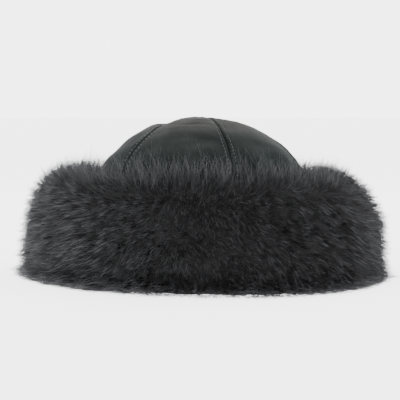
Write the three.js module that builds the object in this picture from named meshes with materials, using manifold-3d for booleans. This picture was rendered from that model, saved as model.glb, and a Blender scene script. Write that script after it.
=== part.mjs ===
// A fur hat lying on a table: a domed crown sewn from six suede gores, inside a deep turned-up cuff of long dark fur.
// Millimetres, +Z up, the table at z = 0. The wearer's forehead faces -Y, and +X is on the viewer's right.
// Azimuth 0 is the front, and it grows towards +X.
import * as THREE from "three";
import { mergeVertices } from "three/addons/utils/BufferGeometryUtils.js";
import Module from "manifold-3d";

const wasm = await Module();
wasm.setup();

// Driving dimensions
const CROWN_HALF_WIDTH = 94; // outside, left to right at the rim: a head of 58 cm round, in an unworn, nearly round hat
const OVAL_EXTRA = 4.5; // the hat is this much longer than wide at each end, front and back
const LEATHER = 2; // suede thickness
const SEAMS = [17.5, 76, 135, 194, 253, 312.5]; // degrees of azimuth; the front gore is the widest
const SEAM_GAP = 0.36; // between two gores
const PUFF = 2.2; // how far a gore swells between its seams
const DOME_RADIUS = 114; // of the sphere that the top of the crown follows
const APEX_BACK = 17; // the seams meet this far behind the middle
const APEX_START = 0.016; // share of a gore's length where its cut-off tip starts
const FUR_GAP = 0.55; // between the crown and the cuff's skin
const FUR_DEPTH = 12; // the locks stand this far out of the dense underfur
const RISE_START = 0.4; // share of the fur's outline above which extra fur stands up more than out
const CUFF_SEGMENTS = 48; // faces round the underfur and round the bore
const CUFF_BORE_TOP = 88; // where the cuff's skin leaves the crown
const PRESS_DEPTH = 12; // thickness of the slab that is cut away under the table

// The crown's outline from the apex to the rim
const CROWN_OUTLINE = [
  { radius: 0, height: 140.5 },
  { radius: 22, height: 138.3 },
  { radius: 48, height: 130 },
  { radius: 74, height: 113.3 },
  { radius: 89, height: 97 },
  { radius: 93.3, height: 76 },
  { radius: CROWN_HALF_WIDTH, height: 44 },
  { radius: CROWN_HALF_WIDTH, height: 4 },
];

// Shallow dents in the crown. A negative depth is a swelling.
const DENTS = [
  { x: -32, y: -2, width: 7, length: 14, depth: 4.3 }, // where the front left seam has sagged
  { x: -39.5, y: 2, width: 6, length: 22, depth: -1.3 }, // the left gore stands proud beside it
  { x: -77, y: 0, width: 14, length: 45, depth: 2.7 }, // the left flank is flatter than the right one
  { x: 18, y: 0, width: 14, length: 30, depth: 0.9 }, // the top is a little lower at its right end
];
const DENTS_END = { from: 0.6, to: 0.8 }; // shares of a gore's length between which the dents die out

// The fur's outline from the table up to where it meets the crown, at the hat's side
const FUR_OUTLINE = [
  { radius: 166, height: 1 },
  { radius: 163, height: 14 },
  { radius: 162, height: 30 },
  { radius: 158.5, height: 48 },
  { radius: 153, height: 66 },
  { radius: 145, height: 80 },
  { radius: 132, height: 90 },
  { radius: 116, height: 97 },
  { radius: 101, height: 98 },
];

// Where the fur is fuller than its outline: by extra at an azimuth in degrees, by less to each side of it with a power
// of the cosine, and by nothing above the second of two shares of the outline
const FULLER = [
  { azimuth: 35, power: 6, extra: 20, from: 0, to: 0.6 }, // it flares on the table at the front right
  { azimuth: 90, power: 4, extra: 5, from: 0.5, to: 0.75 },
  { azimuth: -90, power: 6, extra: 5.5, from: 0.75, to: 1 }, // the left shoulder is the square one
];

// Rows of locks: where along the fur's outline a row's tips and roots lie, how many locks go round, and how wide a root
// is. Below the shoulder the locks hang outwards and down, and above it they stand up beside the crown.
const LOCK_ROWS = [
  { tip: 0, root: 0.21, count: 27, width: 42 },
  { tip: 0.14, root: 0.36, count: 24, width: 43 },
  { tip: 0.29, root: 0.5, count: 23, width: 43 },
  { tip: 0.44, root: 0.62, count: 22, width: 42 },
  { tip: 0.58, root: 0.72, count: 21, width: 40 },
  { tip: 0.7, root: 0.74, count: 20, width: 37 },
  { tip: 0.81, root: 0.77, count: 18, width: 35 },
  { tip: 0.95, root: 0.84, count: 16, width: 33 },
];
const LOCK_SIDES = 4;
const LOCK_THICKNESS = 13;
const LOCK_WIDTH_SPREAD = 0.15; // share by which a lock may be wider or narrower than its row's width
const LOCK_SECTIONS = [
  { along: 0, fullness: 1 },
  { along: 0.55, fullness: 0.72 },
];
const ROOT_DEPTH = 19; // of a lock's root under the fur's outline
const BEND_DEPTH = 4; // of the middle of its curve
const TIP_SPREAD = 0.05; // radians that a lock's tip may stray sideways
const MERGE_DISTANCE = 1e-3; // points closer than this are one point

const crownCurve = new THREE.SplineCurve(CROWN_OUTLINE.map((row) => new THREE.Vector2(row.radius, row.height)));
const furCurve = new THREE.SplineCurve(FUR_OUTLINE.map((row) => new THREE.Vector2(row.radius, row.height)));

// A repeatable stream of numbers from 0 to 1.
function seededRandom(seed) {
  let state = seed;
  return () => {
    state = (state * 1664525 + 1013904223) % 4294967296;
    return state / 4294967296;
  };
}

// The point at an azimuth in radians on the hat's oval, for a radius measured at the hat's side.
function ovalPoint(azimuth, radius, height) {
  const length = radius + (OVAL_EXTRA * radius) / CROWN_HALF_WIDTH;
  return new THREE.Vector3(radius * Math.sin(azimuth), -length * Math.cos(azimuth), height);
}

// How much fuller the fur is at a place than its outline.
function extraFur(azimuth, share) {
  return FULLER.reduce((sum, row) => {
    const facing = Math.max(0, Math.cos(azimuth - THREE.MathUtils.degToRad(row.azimuth)));
    return sum + row.extra * facing ** row.power * (1 - THREE.MathUtils.smoothstep(share, row.from, row.to));
  }, 0);
}

// The point on the fur's outline: share 0 is at the table, and 1 is beside the crown. Extra fur stands out level low
// down, and straight up beside the crown.
function furPoint(azimuth, share) {
  const place = furCurve.getPoint(share);
  const extra = extraFur(azimuth, share);
  const rise = (Math.PI / 2) * THREE.MathUtils.smoothstep(share, RISE_START, 1);
  return ovalPoint(azimuth, place.x + extra * Math.cos(rise), place.y + extra * Math.sin(rise));
}

// The point at a depth under the fur's outline, square to it.
function furPointInside(azimuth, share, depth) {
  const ahead = furPoint(azimuth, share + 0.02).sub(furPoint(azimuth, Math.max(0, share - 0.02)));
  const level = new THREE.Vector3(Math.sin(azimuth), -Math.cos(azimuth), 0);
  const outward = level.clone().multiplyScalar(ahead.z).setZ(-ahead.dot(level)).normalize();
  return furPoint(azimuth, share).addScaledVector(outward, -depth);
}

// A closed horn from rings of points: the rings are joined in order, the first one is closed by a fan round its middle,
// and the last one by a fan to the tip.
function hornFromRings(rings, tip) {
  const sides = rings[0].length;
  const middle = rings[0].reduce((sum, point) => sum.add(point), new THREE.Vector3()).divideScalar(sides);
  const points = [...rings.flat(), middle, tip];
  const middleIndex = points.length - 2;
  const tipIndex = points.length - 1;
  const lastRing = (rings.length - 1) * sides;
  const faces = [];
  for (let side = 0; side < sides; side++) {
    const next = (side + 1) % sides;
    faces.push(middleIndex, next, side);
    for (let ring = 0; ring + 1 < rings.length; ring++) {
      const a = ring * sides + side;
      const b = ring * sides + next;
      faces.push(a, b, b + sides, a, b + sides, a + sides);
    }
    faces.push(tipIndex, lastRing + side, lastRing + next);
  }
  return closedGeometry(points, faces);
}

function closedGeometry(points, faces) {
  const geometry = new THREE.BufferGeometry().setFromPoints(points);
  geometry.setIndex(faces);
  return geometry;
}

function toSolid(geometry) {
  const bare = geometry.index ? geometry.toNonIndexed() : geometry.clone();
  bare.deleteAttribute("normal");
  bare.deleteAttribute("uv");
  const merged = mergeVertices(bare, MERGE_DISTANCE);
  return new wasm.Manifold(
    new wasm.Mesh({
      numProp: 3,
      vertProperties: merged.attributes.position.array,
      triVerts: new Uint32Array(merged.index.array),
    }),
  );
}

function toGeometry(solid) {
  const mesh = solid.getMesh();
  const geometry = new THREE.BufferGeometry();
  geometry.setAttribute("position", new THREE.BufferAttribute(mesh.vertProperties, 3));
  geometry.setIndex(new THREE.BufferAttribute(mesh.triVerts, 1));
  geometry.computeVertexNormals();
  return geometry;
}

// The crown's surface without its puffed gores. Share 0 is the apex, and 1 the rim. Near the top the seam lines slide
// back over the dome, so that they meet behind its middle while the dome keeps its shape but for the dents.
function crownPoint(azimuth, share) {
  const place = crownCurve.getPoint(share);
  const height = (reach) => Math.sqrt(Math.max(0, DOME_RADIUS ** 2 - reach ** 2));
  const slide = APEX_BACK * Math.max(0, 1 - (place.x / CROWN_HALF_WIDTH) ** 2);
  const point = ovalPoint(azimuth, place.x, place.y);
  point.y += slide;
  const reach = Math.hypot(point.x, point.y / (1 + OVAL_EXTRA / CROWN_HALF_WIDTH));
  point.z += height(reach) - height(place.x);
  const { x, y } = point;
  const fading = 1 - THREE.MathUtils.smoothstep(share, DENTS_END.from, DENTS_END.to);
  for (const dent of DENTS) {
    const away = ((x - dent.x) / dent.width) ** 2 + ((y - dent.y) / dent.length) ** 2;
    point.z -= dent.depth * Math.exp(-away / 2) * fading;
  }
  return point;
}

function crownNormal(azimuth, share) {
  const step = 1e-3;
  const up = crownPoint(azimuth, share - step).sub(crownPoint(azimuth, share + step));
  const round = crownPoint(azimuth + step, share).sub(crownPoint(azimuth - step, share));
  return round.cross(up).normalize();
}

// How far a gore stands out: across runs from -1 at one seam to 1 at the next. The swelling dies out at the apex and
// under the fur.
function puff(across, share) {
  const along = THREE.MathUtils.smoothstep(share, 0, 0.3) * (1 - THREE.MathUtils.smoothstep(share, 0.5, 0.68));
  return PUFF * (1 - across ** 2) * along;
}

// One gore between two seams: a curved wedge of suede with an outer and an inner face, held half a seam gap short of
// each seam.
function goreGeometry(first, last) {
  const across = 8;
  const along = 15;
  const width = last - first;
  const outer = [];
  const inner = [];
  for (let row = 0; row <= along; row++) {
    const share = APEX_START + (1 - APEX_START) * (row / along) ** 0.9;
    const girth = crownPoint(first, share).distanceTo(crownPoint(first + width, share));
    const trim = (SEAM_GAP / 2) * (width / girth);
    for (let column = 0; column <= across; column++) {
      const place = column / across;
      const azimuth = first + trim + (width - 2 * trim) * place;
      const normal = crownNormal(azimuth, share);
      const skin = crownPoint(azimuth, share).addScaledVector(normal, puff(2 * place - 1, share));
      outer.push(skin);
      inner.push(skin.clone().addScaledVector(normal, -LEATHER));
    }
  }
  const count = outer.length;
  const stride = across + 1;
  const faces = [];
  const quad = (a, b, c, d) => faces.push(a, b, c, a, c, d);
  for (let row = 0; row < along; row++) {
    for (let column = 0; column < across; column++) {
      const a = row * stride + column;
      quad(a, a + stride, a + stride + 1, a + 1);
      quad(count + a, count + a + 1, count + a + stride + 1, count + a + stride);
    }
    const left = row * stride;
    const right = left + across;
    quad(left, left + count, left + stride + count, left + stride);
    quad(right, right + stride, right + stride + count, right + count);
  }
  for (let column = 0; column < across; column++) {
    const rim = along * stride + column;
    quad(column, column + 1, column + 1 + count, column + count);
    quad(rim, rim + count, rim + 1 + count, rim + 1);
  }
  return closedGeometry([...outer, ...inner], faces);
}

// The cuff's skin and dense underfur: a thick ring round the crown, FUR_DEPTH inside the fur's outline.
function underfurGeometry() {
  const bore = CROWN_HALF_WIDTH + FUR_GAP;
  const foot = -PRESS_DEPTH / 4;
  const shares = [0.02, 0.16, 0.32, 0.48, 0.62, 0.74, 0.86, 0.96];
  const rings = [];
  for (let segment = 0; segment < CUFF_SEGMENTS; segment++) {
    const azimuth = (segment / CUFF_SEGMENTS) * 2 * Math.PI;
    const skin = shares.map((share) => furPointInside(azimuth, share, FUR_DEPTH));
    const inside = [ovalPoint(azimuth, bore, CUFF_BORE_TOP), ovalPoint(azimuth, bore, foot)];
    rings.push([...inside, skin[0].clone().setZ(foot), ...skin]);
  }
  const size = rings[0].length;
  const faces = [];
  for (let segment = 0; segment < CUFF_SEGMENTS; segment++) {
    const here = segment * size;
    const next = ((segment + 1) % CUFF_SEGMENTS) * size;
    for (let k = 0; k < size; k++) {
      const l = (k + 1) % size;
      faces.push(here + k, next + l, here + l, here + k, next + k, next + l);
    }
  }
  return closedGeometry(rings.flat(), faces);
}

// One lock: a flat tapering horn along a curve from its root in the underfur to its tip on the fur's outline.
function lockGeometry(root, bend, tip, side, width) {
  const line = new THREE.QuadraticBezierCurve3(root, bend, tip);
  const rings = LOCK_SECTIONS.map(({ along, fullness }) => {
    const centre = line.getPoint(along);
    const outward = new THREE.Vector3().crossVectors(line.getTangent(along), side).normalize();
    return Array.from({ length: LOCK_SIDES }, (_, k) => {
      const turn = (k / LOCK_SIDES) * 2 * Math.PI;
      return centre
        .clone()
        .addScaledVector(side, (Math.cos(turn) * fullness * width) / 2)
        .addScaledVector(outward, (Math.sin(turn) * fullness * LOCK_THICKNESS) / 2);
    });
  });
  return hornFromRings(rings, tip);
}

// A solid without the small hollows that locks enclose between them. Removing one can free another that touched it, so
// this repeats until a single body is left.
function outerBody(solid) {
  const bodies = toSolid(toGeometry(solid)).decompose();
  const [largest] = bodies.sort((a, b) => b.volume() - a.volume());
  return bodies.length > 1 ? outerBody(largest) : largest;
}

// The cuff: locks in staggered rows fused to the underfur, pressed flat on the table, and bored for the crown.
function furCuffGeometry() {
  const random = seededRandom(7);
  const around = (spread) => (random() - 0.5) * 2 * spread;
  const locks = LOCK_ROWS.flatMap((row, index) =>
    Array.from({ length: row.count }, (_, k) => {
      const azimuth = ((k + (index % 2) / 2) / row.count) * 2 * Math.PI;
      const stray = index === 0 ? 0 : around(TIP_SPREAD);
      const tip = furPoint(azimuth + stray, row.tip);
      const root = furPointInside(azimuth, row.root, ROOT_DEPTH);
      const bend = furPointInside(azimuth + stray / 2, (row.tip + row.root) / 2, BEND_DEPTH);
      const side = new THREE.Vector3(Math.cos(azimuth), Math.sin(azimuth), 0);
      const width = row.width * (1 + around(LOCK_WIDTH_SPREAD));
      return toSolid(lockGeometry(root, bend, tip, side, width));
    }),
  );
  const tall = 2 * CROWN_OUTLINE[0].height;
  const bore = new THREE.CylinderGeometry(1, 1, tall, CUFF_SEGMENTS).rotateX(Math.PI / 2);
  const clear = CROWN_HALF_WIDTH + FUR_GAP - 0.2;
  bore.scale(clear, clear + OVAL_EXTRA, 1);
  const wide = 2.5 * FUR_OUTLINE[0].radius;
  const below = new THREE.BoxGeometry(wide, wide, PRESS_DEPTH).translate(0, 0, -PRESS_DEPTH / 2);
  const joined = wasm.Manifold.union([toSolid(underfurGeometry()), ...locks]);
  const pressed = joined.subtract(toSolid(below)).subtract(toSolid(bore));
  return toGeometry(outerBody(pressed));
}

const suede = new THREE.MeshStandardMaterial({ color: 0x3f4644, roughness: 0.92, metalness: 0, name: "suede" });
const fur = new THREE.MeshStandardMaterial({ color: 0x27272a, roughness: 0.8, metalness: 0, name: "fur" });

const crown = new THREE.Group();
SEAMS.forEach((seam, index) => {
  const nextSeam = SEAMS[index + 1] ?? SEAMS[0] + 360;
  const mesh = new THREE.Mesh(goreGeometry(THREE.MathUtils.degToRad(seam), THREE.MathUtils.degToRad(nextSeam)), suede);
  mesh.name = `crown_gore_${index + 1}`;
  crown.add(mesh);
});

const cuff = new THREE.Mesh(furCuffGeometry(), fur);
cuff.name = "fur_cuff";

const hat = new THREE.Group();
hat.add(crown, cuff);

// The origin is on the table, under the middle of the hat's box.
const box = new THREE.Box3().setFromObject(hat, true);
const middle = box.getCenter(new THREE.Vector3());
hat.position.set(-middle.x, -middle.y, -box.min.z);

export default hat;
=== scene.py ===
# %% [markdown]
# # A fur hat lying on a table
#
# The hat is a low dome sewn from suede gores, and a thick ring of long, near-black fur stands round it.
# The ring hides most of the dome, so the eye reads a dark, soft mass with a small smooth cap in its
# middle.
#
# The solids that this script loads set its place and its size. The dome is remade as finer surfaces, one
# for each gore, and the fur is remade as tens of thousands of thin closed hairs round a dark core.

# %% Load the solids
import math

import bpy
import numpy as np
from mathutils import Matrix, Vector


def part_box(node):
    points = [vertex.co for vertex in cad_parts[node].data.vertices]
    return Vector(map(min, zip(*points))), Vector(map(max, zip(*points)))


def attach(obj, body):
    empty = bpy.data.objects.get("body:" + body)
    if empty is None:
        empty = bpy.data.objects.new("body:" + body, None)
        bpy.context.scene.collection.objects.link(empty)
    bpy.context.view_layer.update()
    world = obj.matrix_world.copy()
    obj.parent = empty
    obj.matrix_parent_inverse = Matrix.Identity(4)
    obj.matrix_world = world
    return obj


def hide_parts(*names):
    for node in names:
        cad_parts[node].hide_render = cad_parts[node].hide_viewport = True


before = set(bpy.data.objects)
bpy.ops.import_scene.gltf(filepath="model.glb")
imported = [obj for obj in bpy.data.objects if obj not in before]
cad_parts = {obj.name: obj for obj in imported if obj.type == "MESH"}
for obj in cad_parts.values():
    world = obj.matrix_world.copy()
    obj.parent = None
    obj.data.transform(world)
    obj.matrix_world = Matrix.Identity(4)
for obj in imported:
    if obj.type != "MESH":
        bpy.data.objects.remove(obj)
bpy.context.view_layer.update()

GORES = 6
MM = 0.001

gore_names = [f"crown_gore_{number + 1}" for number in range(GORES)]
gore_boxes = np.array([[tuple(corner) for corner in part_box(name)] for name in gore_names])
axis_x, axis_y = (gore_boxes[:, 0].min(0) + gore_boxes[:, 1].max(0))[:2] / 2
print(f"the crown's axis is at x {axis_x / MM:.2f} mm, y {axis_y / MM:.2f} mm")

# %% [markdown]
# ## Units, colours and nodes
#
# Sizes are written in millimetres, as a hat maker gives them, and turned to metres once. Colours are the
# sRGB hex values that a colour picker shows. A shader wants linear numbers, so one function turns them.
# Nodes could be added and wired one call at a time, but one small function for all of them keeps a
# material short enough to read.

# %% Helpers for colours and nodes
def linear(hex_colour, alpha=1.0):
    """An sRGB hex colour as linear numbers: each channel is divided by 12.92 where it is dark, and
    otherwise raised to the power 2.4 after a small offset."""
    channels = np.array([int(hex_colour[k : k + 2], 16) for k in (1, 3, 5)]) / 255
    dark = channels / 12.92
    bright = ((channels + 0.055) / 1.055) ** 2.4
    return (*np.where(channels <= 0.04045, dark, bright), alpha)


def add_node(tree, kind, inputs=(), stops=(), **settings):
    """Adds a node to a tree. Settings are its properties. Inputs are its sockets by name or by number,
    each with a value or the socket that feeds it. Stops are the places and hex colours of a colour
    ramp."""
    made = tree.nodes.new(kind)
    for name, value in settings.items():
        setattr(made, name, value)
    for key, value in dict(inputs).items():
        if isinstance(value, bpy.types.NodeSocket):
            tree.links.new(value, made.inputs[key])
        else:
            made.inputs[key].default_value = value
    for number, (place, colour) in enumerate(stops):
        elements = made.color_ramp.elements
        element = elements[number] if number < len(elements) else elements.new(place)
        element.position = place
        element.color = linear(colour)
    return made


def new_material(name, values):
    """A material with its node tree and its shader. Values are the shader's constant sockets by name."""
    material = bpy.data.materials.new(name)
    material.use_nodes = True
    shader = material.node_tree.nodes["Principled BSDF"]
    for socket, value in values.items():
        shader.inputs[socket].default_value = value
    return material, material.node_tree, shader


print(f"the middle grey #808080 is {linear('#808080')[0]:.3f} in linear numbers")

# %% [markdown]
# ## Meshes from whole arrays
#
# Every piece here is a list of points and a list of faces. They could be built point by point, or by
# Blender's editing tools, but the fur alone has more than half a million points. So numpy works out all
# the points of a piece at once, and foreach_set hands the whole array to the mesh.
#
# Real fur and suede are never even. Their waves and tufts follow a smooth noise, which is a sum of
# cosines here, because the shapes need it as numbers at given places and not as a picture.

# %% Helpers for meshes and smooth noise
SHORTEST_WAVE, LONGEST_WAVE = 0.75, 1.35  # wavelengths in a noise, as shares of the one it is asked for


def add_piece(name, points, faces, material, uv=None):
    """One object from an array of points in metres and a list of face arrays, each with its own number of
    corners. The optional uv gives a pair of numbers for each point."""
    mesh = bpy.data.meshes.new(name)
    corners = np.concatenate([group.ravel() for group in faces]).astype(np.int32)
    sizes = np.concatenate([np.full(len(group), group.shape[1]) for group in faces])
    starts = np.concatenate([[0], np.cumsum(sizes)[:-1]]).astype(np.int32)
    mesh.vertices.add(len(points))
    mesh.vertices.foreach_set("co", np.asarray(points, np.float32).ravel())
    mesh.loops.add(len(corners))
    mesh.loops.foreach_set("vertex_index", corners)
    mesh.polygons.add(len(starts))
    mesh.polygons.foreach_set("loop_start", starts)
    mesh.polygons.foreach_set("use_smooth", np.ones(len(starts), bool))
    if uv is not None:
        layer = mesh.uv_layers.new(name="OFBake")
        layer.uv.foreach_set("vector", np.asarray(uv, np.float32)[corners].ravel())
    mesh.update(calc_edges=True)
    mesh.materials.append(material)
    piece = bpy.data.objects.new(name, mesh)
    bpy.context.scene.collection.objects.link(piece)
    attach(piece, "root")
    triangles = int((sizes - 2).sum())
    print(f"{name}: {len(points)} points, {triangles} triangles")
    return piece


def unit(vectors):
    """Each vector divided by its length."""
    return vectors / np.maximum(np.linalg.norm(vectors, axis=-1, keepdims=True), 1e-12)


def grid_faces(rows, columns, first=0, around=False):
    """Quads between neighbouring points of a grid that is stored row by row. With around, the last column
    meets the first one."""
    row, column = np.meshgrid(np.arange(rows - 1), np.arange(columns - (not around)), indexing="ij")
    after = (column + 1) % columns
    here, below = row * columns, (row + 1) * columns
    corners = [here + column, below + column, below + after, here + after]
    return first + np.stack(corners, -1).reshape(-1, 4)


def ripple(points, wavelength, seed, waves=14):
    """Smooth noise, mostly between -1 and 1, over points in metres: the sum of cosines along random
    directions, whose wavelengths lie round the given one, in millimetres. Each use has a seed of its own,
    so no two noises agree."""
    random = np.random.default_rng(seed)
    directions = unit(random.normal(size=(waves, 3)))
    numbers = 2 * math.pi / (wavelength * MM * random.uniform(SHORTEST_WAVE, LONGEST_WAVE, waves))
    phases = random.uniform(0, 2 * math.pi, waves)
    return np.cos(points @ (directions * numbers[:, None]).T + phases).sum(-1) / math.sqrt(waves)


def smooth_step(value, low, high):
    """0 under low, 1 over high, and 3t^2 - 2t^3 between them."""
    t = np.clip((value - low) / (high - low), 0, 1)
    return t * t * (3 - 2 * t)


sample = ripple(np.linspace((0, 0, 0), (1, 1, 1), 1000), 10, 1)
print(f"along a line, noise lies between {sample.min():.1f} and {sample.max():.1f}")

# %% [markdown]
# ## The camera
#
# The photograph looks almost level at the hat from about 1.2 m away, a little above its top, so the
# fur's near edge hides the dome's rim. Its horizon lies above the middle of the picture. The lens
# could be shifted to put it there, but tilting the camera down by a few degrees does the same, as a
# photographer would.

# %% Camera at the photograph's viewing angle
PICTURE_WIDTH = 400  # pixels, and its height too
CAMERA_DISTANCE = 1.2  # m
CAMERA_HEIGHT = 0.1455  # m
FOCAL_PIXELS = 1314  # focal length, in pixels of the picture
HORIZON_ROW = 111.7
AXIS_COLUMN = 201.0  # where the crown's axis stands in the picture
SENSOR = 36.0  # mm

half_picture = PICTURE_WIDTH / 2
metres_per_pixel = CAMERA_DISTANCE / FOCAL_PIXELS
lens = bpy.data.cameras.new("camera")
lens.sensor_width = SENSOR
lens.lens = FOCAL_PIXELS / PICTURE_WIDTH * SENSOR
camera = bpy.data.objects.new("camera", lens)
camera_x = axis_x + (half_picture - AXIS_COLUMN) * metres_per_pixel
camera.location = (camera_x, axis_y - CAMERA_DISTANCE, CAMERA_HEIGHT)
look_down = math.atan((half_picture - HORIZON_ROW) / FOCAL_PIXELS)
camera.rotation_euler = (math.pi / 2 - look_down, 0, 0)
bpy.context.scene.collection.objects.link(camera)
bpy.context.scene.camera = camera
print(f"lens {lens.lens:.1f} mm, looking down {math.degrees(look_down):.2f} degrees")

# %% [markdown]
# ## Table and light
#
# The photograph was lit in a white tent that is open towards the camera: light comes from above, from
# behind and from the sides, and least from the front, so the middle of the fur is its darkest part and
# its edges are pale. The tent could be built of glowing walls, but a world with a brightness for each
# direction does the same and costs nothing. It gets brighter from the camera's side to the back, and
# close to the horizon it is as bright as the table, so hardly a line shows between them.
#
# The hat lies on white acrylic that is lit from below, as product tables are. So the table glows by
# itself: it takes no dark shadow, and it lights the foot of the fur. One large lamp behind and above the
# hat adds the tent's lit back wall, which gives the dome's top its shine.

# %% The lit table
TABLE_WIDTH = 60.0  # m, so wide that its edge is lost in the horizon
TABLE_GLOW = 3.2  # brightness that the table has of its own

acrylic_values = {
    "Base Color": linear("#f4f4f4"), "Roughness": 0.9,
    "Emission Color": (1, 1, 1, 1), "Emission Strength": TABLE_GLOW,
}
acrylic, _, _ = new_material("lit_white_acrylic", acrylic_values)
table_mesh = bpy.data.meshes.new("floor")
half_table = TABLE_WIDTH / 2
table_corners = [(x * half_table, y * half_table, 0) for x, y in ((-1, -1), (1, -1), (1, 1), (-1, 1))]
table_mesh.from_pydata(table_corners, [], [(0, 1, 2, 3)])
table_mesh.materials.append(acrylic)
floor = bpy.data.objects.new("floor", table_mesh)
bpy.context.scene.collection.objects.link(floor)
print(f"the table glows with a strength of {TABLE_GLOW}")

# %% The white tent
TENT_FRONT, TENT_BACK = 0.2, 2.2  # brightness behind the camera and behind the hat
HORIZON = 5.0  # brightness close to the horizon
HORIZON_TOP, WALLS_FROM = 0.1, 0.2  # how far up it ends and the walls begin: 0 is level, 1 overhead

world = bpy.data.worlds.new("white_tent")
world.use_nodes = True
tree = world.node_tree
direction = add_node(tree, "ShaderNodeTexCoord").outputs["Generated"]
parts = add_node(tree, "ShaderNodeSeparateXYZ", {"Vector": direction}).outputs
depth = {"Value": parts["Y"], "From Min": -1.0, "From Max": 1.0, "To Min": TENT_FRONT, "To Max": TENT_BACK}
walls = add_node(tree, "ShaderNodeMapRange", depth).outputs["Result"]
upward = {"Value": parts["Z"], "From Min": HORIZON_TOP, "From Max": WALLS_FROM}
climb = add_node(tree, "ShaderNodeMapRange", upward, interpolation_type="SMOOTHSTEP").outputs["Result"]
blend = {"Value": climb, "To Min": HORIZON, "To Max": walls}
brightness = add_node(tree, "ShaderNodeMapRange", blend).outputs["Result"]
tree.links.new(brightness, tree.nodes["Background"].inputs["Strength"])
tree.nodes["Background"].inputs["Color"].default_value = (1, 1, 1, 1)
bpy.context.scene.world = world
print(f"the tent is {TENT_BACK / TENT_FRONT:.0f} times as bright behind the hat as behind the camera")

# %% The lamp behind the hat
LAMP_PLACE, LAMP_AIM = np.array([0.1, 0.75, 1.1]), np.array([0, 0, 0.07])  # m
LAMP_WIDTH = 1.1  # m
LAMP_WATTS = 10.5

lamp = bpy.data.lights.new("back_softbox", "AREA")
lamp.shape = "SQUARE"
lamp.size = LAMP_WIDTH
lamp.energy = LAMP_WATTS
holder = bpy.data.objects.new("back_softbox", lamp)
holder.location = LAMP_PLACE
aim = LAMP_AIM - LAMP_PLACE
level = math.hypot(aim[0], aim[1])
holder.rotation_euler = (math.atan2(level, -aim[2]), 0, math.atan2(aim[1], aim[0]) - math.pi / 2)
bpy.context.scene.collection.objects.link(holder)
print(f"the lamp is {np.linalg.norm(aim):.2f} m from the hat")

# %% [markdown]
# ## The two outlines that everything follows
#
# The dome and the fur are both round the same upright axis, so each is one outline carried round an oval.
# The dome's outline runs from its top to its rim, and the fur's runs from the table up to where it meets
# the dome. A mould of each could be sculpted, but a few rows of radius and height are easy to read and to
# correct. What isn't even on the real hat is added to the outlines: dents in the dome, and places where
# the fur is fuller. Azimuth 0 is the front, and it grows towards the viewer's right.

# %% Sizes of the dome
CROWN_HALF_WIDTH = 94  # mm, as are the sizes below
OVAL_EXTRA = 4.5  # the hat is this much longer than wide at each end, front and back
SEAMS = np.radians([17.5, 76, 135, 194, 253, 312.5])  # azimuths
LEATHER = 2
PUFF = 2.2  # how far a gore swells between its seams
DOME_RADIUS = 114  # of the sphere that the top of the crown follows
APEX_BACK = 17  # the seams meet this far behind the middle
DENTS = [  # x, y, width, length, depth, from the crown's axis; a negative depth is a swelling
    (-32, -2, 7, 14, 4.3),  # where the front left seam has sagged
    (-39.5, 2, 6, 22, -1.3),  # the left gore stands proud beside it
    (-77, 0, 14, 45, 2.7),  # the left flank is flatter than the right one
    (18, 0, 14, 30, 0.9),  # the top is a little lower at its right end
]
DENTS_END = (0.6, 0.8)  # shares of a gore's length between which the dents die out
CROWN_OUTLINE = [  # radius, height
    (0, 140.5),
    (22, 138.3),
    (48, 130),
    (74, 113.3),
    (89, 97),
    (93.3, 76),
    (CROWN_HALF_WIDTH, 44),
    (CROWN_HALF_WIDTH, 4),
]
print(f"the dome is {2 * CROWN_HALF_WIDTH} mm wide and {CROWN_OUTLINE[0][1]} mm high")

# %% Sizes of the fur
FUR_OUTLINE = [  # radius, height, in mm
    (166, 1),
    (163, 14),
    (162, 30),
    (158.5, 48),
    (153, 66),
    (145, 80),
    (132, 90),
    (116, 97),
    (101, 98),
]
FULLER = [  # azimuth in degrees, power, extra, and the shares of the outline between which it dies out
    (35, 6, 20, 0, 0.6),  # it flares on the table at the front right
    (90, 4, 5, 0.5, 0.75),
    (-90, 6, 5.5, 0.75, 1),  # the left shoulder is the square one
]
RISE_START = 0.4  # share of the fur's outline above which extra fur stands up more than out
print(f"where it is even, the fur is {2 * FUR_OUTLINE[0][0]} mm wide on the table")


# %% Reading an outline
def outline_at(rows, share):
    """Radius and height, in millimetres, at a share of the way along an outline. Between two rows it is a
    cubic whose slope at each row is half the step from the row before it to the row after it."""
    rows = np.asarray(rows, float)
    place = np.clip(share, 0, 1) * (len(rows) - 1)
    first = np.clip(np.floor(place).astype(int), 0, len(rows) - 2)
    t = (place - first)[..., None]
    before, start, end, after = (rows[np.clip(first + k, 0, len(rows) - 1)] for k in (-1, 0, 1, 2))
    leaving, arriving = (end - before) / 2, (after - start) / 2
    cubic = 2 * start - 2 * end + leaving + arriving
    square = -3 * start + 3 * end - 2 * leaving - arriving
    return cubic * t**3 + square * t**2 + leaving * t + start


def on_oval(azimuth, radius, height):
    """The point at an azimuth on an oval whose length exceeds its width in proportion to its radius.
    Sizes go in as millimetres, and the point comes out in metres."""
    length = radius * (1 + OVAL_EXTRA / CROWN_HALF_WIDTH)
    azimuth, radius, length, height = np.broadcast_arrays(azimuth, radius, length, height)
    x = axis_x + radius * MM * np.sin(azimuth)
    y = axis_y - length * MM * np.cos(azimuth)
    return np.stack([x, y, height * MM], -1)


radius, height = outline_at(FUR_OUTLINE, 0.5)
print(f"half way along its outline, the fur is {radius:.0f} mm from the axis and {height:.0f} mm high")

# %% [markdown]
# ## The suede crown
#
# Six wedges of suede are sewn edge to edge into a dome. Each wedge swells between its seams, rolls down
# into the groove at each seam, and is raised beside it, where the allowance is folded back under a row of
# topstitches. The thread puckers the suede a little, and soft creases run over it.
#
# A subdivided cage could give the dome, but the seams need steps of half a millimetre next to them and
# none in the middle, so each wedge is a grid with its columns crowded towards the seams. The seams meet
# behind the dome's top, so the grid's lines slide back near the top while the dome keeps its round shape.

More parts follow.
